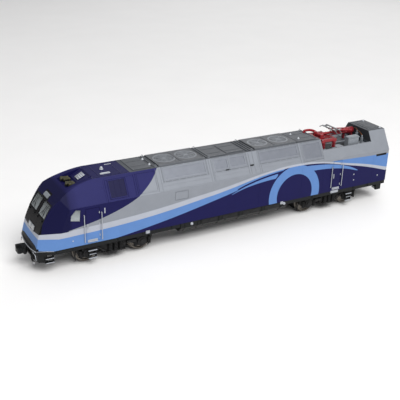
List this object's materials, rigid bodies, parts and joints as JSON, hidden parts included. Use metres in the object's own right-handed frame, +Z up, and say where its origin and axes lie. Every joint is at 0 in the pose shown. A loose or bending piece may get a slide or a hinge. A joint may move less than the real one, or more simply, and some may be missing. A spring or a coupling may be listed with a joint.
{
  "type": "model electric locomotive",
  "caption": "Scale model electric locomotive with a streamlined cab, roof pantograph, fans, driven four-wheel trucks and knuckle couplers.",
  "frame": {"origin": "middle of the model, level with the lowest point of the wheel flanges", "axes": "+X towards the streamlined cab, +Y towards the model's left side, +Z up"},
  "size_m": [0.2502, 0.0354, 0.0506],
  "materials": {
    "body_paint": "satin paint",
    "black_plastic": "matt",
    "die_cast": "matt black wash",
    "truck_black": "matt, dusty",
    "wheel_steel": "blackened tread",
    "gear_nylon": "moulded",
    "brass": "turned",
    "bronze": "turned bush",
    "steel": "ground",
    "roof_grey": "satin paint",
    "grille_dark": "matt",
    "glass": "clear",
    "lamp_lens": "clear moulded",
    "panto_red": "satin paint",
    "carbon_strip": "bare metal",
    "insulator_red": "glazed",
    "equipment_grey": "satin",
    "board_green": "lacquered",
    "motor_can": "plated",
    "rail_silver": "satin"
  },
  "bodies": {
    "chassis": {"body_shell": "body_paint", "side_grilles": "grille_dark", "window_glass": "glass", "headlight_lenses": "lamp_lens", "chassis_frame": "die_cast", "body_screws": "steel", "fuel_tank": "black_plastic", "underframe_rails": "black_plastic", "front_pilot": "black_plastic", "rear_pilot": "black_plastic", "coupler_boxes": "black_plastic", "circuit_board": "board_green", "speaker": "black_plastic", "roof_hatches": "roof_grey", "fan_grilles": "grille_dark", "cooling_fans": "black_plastic", "roof_panels": "roof_grey", "horns": "brass", "grab_irons": "rail_silver", "pantograph_base": "panto_red", "pantograph_insulators": "insulator_red", "roof_breaker": "insulator_red", "roof_equipment": "equipment_grey", "motor_housing": "motor_can"},
    "motor_rotor": {"motor_rotor": "steel", "flywheels": "brass"},
    "panto_lower": {"pantograph_lower_arm": "panto_red"},
    "panto_upper": {"pantograph_upper_arm": "panto_red"},
    "panto_rod": {"pantograph_control_rod": "panto_red"},
    "panto_head": {"pantograph_head": "carbon_strip"},
    "front_truck": {"front_truck_housing": "truck_black", "front_gear_cover": "truck_black", "front_truck_sides": "truck_black", "front_axle_bearings": "bronze", "front_pickup_strips": "bronze"},
    "front_universal": {"front_universal_ball": "steel"},
    "front_drive": {"front_drive_shaft": "steel"},
    "front_worm": {"front_worm": "steel"},
    "front_centre_gear": {"front_centre_gear": "gear_nylon"},
    "front_outer_idler": {"front_outer_idler": "gear_nylon"},
    "front_outer_axle": {"front_outer_wheelset": "wheel_steel"},
    "front_inner_idler": {"front_inner_idler": "gear_nylon"},
    "front_inner_axle": {"front_inner_wheelset": "wheel_steel"},
    "front_coupler": {"front_coupler": "black_plastic"},
    "front_knuckle": {"front_knuckle": "black_plastic"},
    "rear_truck": {"rear_truck_housing": "truck_black", "rear_gear_cover": "truck_black", "rear_truck_sides": "truck_black", "rear_axle_bearings": "bronze", "rear_pickup_strips": "bronze"},
    "rear_universal": {"rear_universal_ball": "steel"},
    "rear_drive": {"rear_drive_shaft": "steel"},
    "rear_worm": {"rear_worm": "steel"},
    "rear_centre_gear": {"rear_centre_gear": "gear_nylon"},
    "rear_outer_idler": {"rear_outer_idler": "gear_nylon"},
    "rear_outer_axle": {"rear_outer_wheelset": "wheel_steel"},
    "rear_inner_idler": {"rear_inner_idler": "gear_nylon"},
    "rear_inner_axle": {"rear_inner_wheelset": "wheel_steel"},
    "rear_coupler": {"rear_coupler": "black_plastic"},
    "rear_knuckle": {"rear_knuckle": "black_plastic"}
  },
  "joints": [
    {"name": "motor_spin", "type": "hinge", "parent": "chassis", "child": "motor_rotor", "pos_m": [0, 0, 0.01855], "axis": [1, 0, 0], "continuous": true},
    {"name": "front_truck_swivel", "type": "hinge", "parent": "chassis", "child": "front_truck", "pos_m": [0.0742, 0, 0.015], "axis": [0, 0, 1], "range_deg": [-9, 9]},
    {"name": "front_universal_swing", "type": "hinge", "parent": "chassis", "child": "front_universal", "pos_m": [0.032, 0, 0.01855], "axis": [0, 0, 1], "range_deg": [-4.2, 4.2]},
    {"name": "front_drive_spin", "type": "hinge", "parent": "front_universal", "child": "front_drive", "pos_m": [0.032, 0, 0.01855], "axis": [1, 0, 0], "continuous": true},
    {"name": "front_worm_spin", "type": "hinge", "parent": "front_truck", "child": "front_worm", "pos_m": [0.0742, 0, 0.01855], "axis": [1, 0, 0], "continuous": true},
    {"name": "front_centre_gear_spin", "type": "hinge", "parent": "front_truck", "child": "front_centre_gear", "pos_m": [0.0742, 0, 0.01105], "axis": [0, 1, 0], "continuous": true},
    {"name": "front_outer_idler_spin", "type": "hinge", "parent": "front_truck", "child": "front_outer_idler", "pos_m": [0.08249, 0, 0.00899], "axis": [0, 1, 0], "continuous": true},
    {"name": "front_outer_axle_spin", "type": "hinge", "parent": "front_truck", "child": "front_outer_axle", "pos_m": [0.0903, 0, 0.00705], "axis": [0, 1, 0], "continuous": true},
    {"name": "front_inner_idler_spin", "type": "hinge", "parent": "front_truck", "child": "front_inner_idler", "pos_m": [0.06591, 0, 0.00899], "axis": [0, 1, 0], "continuous": true},
    {"name": "front_inner_axle_spin", "type": "hinge", "parent": "front_truck", "child": "front_inner_axle", "pos_m": [0.0581, 0, 0.00705], "axis": [0, 1, 0], "continuous": true},
    {"name": "front_coupler_swing", "type": "hinge", "parent": "chassis", "child": "front_coupler", "pos_m": [0.11, 0, 0.0106], "axis": [0, 0, 1], "range_deg": [-12, 12], "stiffness_Nm_per_rad": 0.0002},
    {"name": "front_knuckle_open", "type": "hinge", "parent": "front_coupler", "child": "front_knuckle", "pos_m": [0.1216, 0.0016, 0.0106], "axis": [0, 0, 1], "range_deg": [0, 30], "stiffness_Nm_per_rad": 0.00005},
    {"name": "rear_truck_swivel", "type": "hinge", "parent": "chassis", "child": "rear_truck", "pos_m": [-0.0742, 0, 0.015], "axis": [0, 0, 1], "range_deg": [-9, 9]},
    {"name": "rear_universal_swing", "type": "hinge", "parent": "chassis", "child": "rear_universal", "pos_m": [-0.032, 0, 0.01855], "axis": [0, 0, 1], "range_deg": [-4.2, 4.2]},
    {"name": "rear_drive_spin", "type": "hinge", "parent": "rear_universal", "child": "rear_drive", "pos_m": [-0.032, 0, 0.01855], "axis": [1, 0, 0], "continuous": true},
    {"name": "rear_worm_spin", "type": "hinge", "parent": "rear_truck", "child": "rear_worm", "pos_m": [-0.0742, 0, 0.01855], "axis": [1, 0, 0], "continuous": true},
    {"name": "rear_centre_gear_spin", "type": "hinge", "parent": "rear_truck", "child": "rear_centre_gear", "pos_m": [-0.0742, 0, 0.01105], "axis": [0, 1, 0], "continuous": true},
    {"name": "rear_outer_idler_spin", "type": "hinge", "parent": "rear_truck", "child": "rear_outer_idler", "pos_m": [-0.08249, 0, 0.00899], "axis": [0, 1, 0], "continuous": true},
    {"name": "rear_outer_axle_spin", "type": "hinge", "parent": "rear_truck", "child": "rear_outer_axle", "pos_m": [-0.0903, 0, 0.00705], "axis": [0, 1, 0], "continuous": true},
    {"name": "rear_inner_idler_spin", "type": "hinge", "parent": "rear_truck", "child": "rear_inner_idler", "pos_m": [-0.06591, 0, 0.00899], "axis": [0, 1, 0], "continuous": true},
    {"name": "rear_inner_axle_spin", "type": "hinge", "parent": "rear_truck", "child": "rear_inner_axle", "pos_m": [-0.0581, 0, 0.00705], "axis": [0, 1, 0], "continuous": true},
    {"name": "rear_coupler_swing", "type": "hinge", "parent": "chassis", "child": "rear_coupler", "pos_m": [-0.11, 0, 0.0106], "axis": [0, 0, 1], "range_deg": [-12, 12], "stiffness_Nm_per_rad": 0.0002},
    {"name": "rear_knuckle_open", "type": "hinge", "parent": "rear_coupler", "child": "rear_knuckle", "pos_m": [-0.1216, -0.0016, 0.0106], "axis": [0, 0, 1], "range_deg": [0, 30], "stiffness_Nm_per_rad": 0.00005},
    {"name": "pantograph_raise", "type": "hinge", "parent": "chassis", "child": "panto_lower", "pos_m": [-0.072, 0, 0.047], "axis": [0, 1, 0], "range_deg": [0, 45]},
    {"name": "pantograph_knee", "type": "hinge", "parent": "panto_lower", "child": "panto_upper", "pos_m": [-0.0965, 0, 0.0474], "axis": [0, 1, 0], "range_deg": [-99, 0]},
    {"name": "pantograph_head_level", "type": "hinge", "parent": "panto_upper", "child": "panto_head", "pos_m": [-0.0816, 0, 0.0492], "axis": [0, 1, 0], "range_deg": [0, 54]},
    {"name": "pantograph_rod_swing", "type": "hinge", "parent": "chassis", "child": "panto_rod", "pos_m": [-0.0727, 0.002, 0.04615], "axis": [0, 1, 0], "range_deg": [0, 45]}
  ],
  "couplings": [
    {"joint": "front_universal_swing", "follows": "front_truck_swivel", "ratio": -0.445},
    {"joint": "front_drive_spin", "follows": "motor_spin", "ratio": 1},
    {"joint": "front_worm_spin", "follows": "motor_spin", "ratio": 1},
    {"joint": "front_centre_gear_spin", "follows": "motor_spin", "ratio": -0.05},
    {"joint": "front_outer_idler_spin", "follows": "motor_spin", "ratio": 0.071429},
    {"joint": "front_outer_axle_spin", "follows": "motor_spin", "ratio": -0.055556},
    {"joint": "front_inner_idler_spin", "follows": "motor_spin", "ratio": 0.071429},
    {"joint": "front_inner_axle_spin", "follows": "motor_spin", "ratio": -0.055556},
    {"joint": "rear_universal_swing", "follows": "rear_truck_swivel", "ratio": -0.445},
    {"joint": "rear_drive_spin", "follows": "motor_spin", "ratio": 1},
    {"joint": "rear_worm_spin", "follows": "motor_spin", "ratio": 1},
    {"joint": "rear_centre_gear_spin", "follows": "motor_spin", "ratio": -0.05},
    {"joint": "rear_outer_idler_spin", "follows": "motor_spin", "ratio": 0.071429},
    {"joint": "rear_outer_axle_spin", "follows": "motor_spin", "ratio": -0.055556},
    {"joint": "rear_inner_idler_spin", "follows": "motor_spin", "ratio": 0.071429},
    {"joint": "rear_inner_axle_spin", "follows": "motor_spin", "ratio": -0.055556},
    {"joint": "pantograph_knee", "follows": "pantograph_raise", "ratio": -2.18},
    {"joint": "pantograph_head_level", "follows": "pantograph_raise", "ratio": 1.18},
    {"joint": "pantograph_rod_swing", "follows": "pantograph_raise", "ratio": 1}
  ]
}
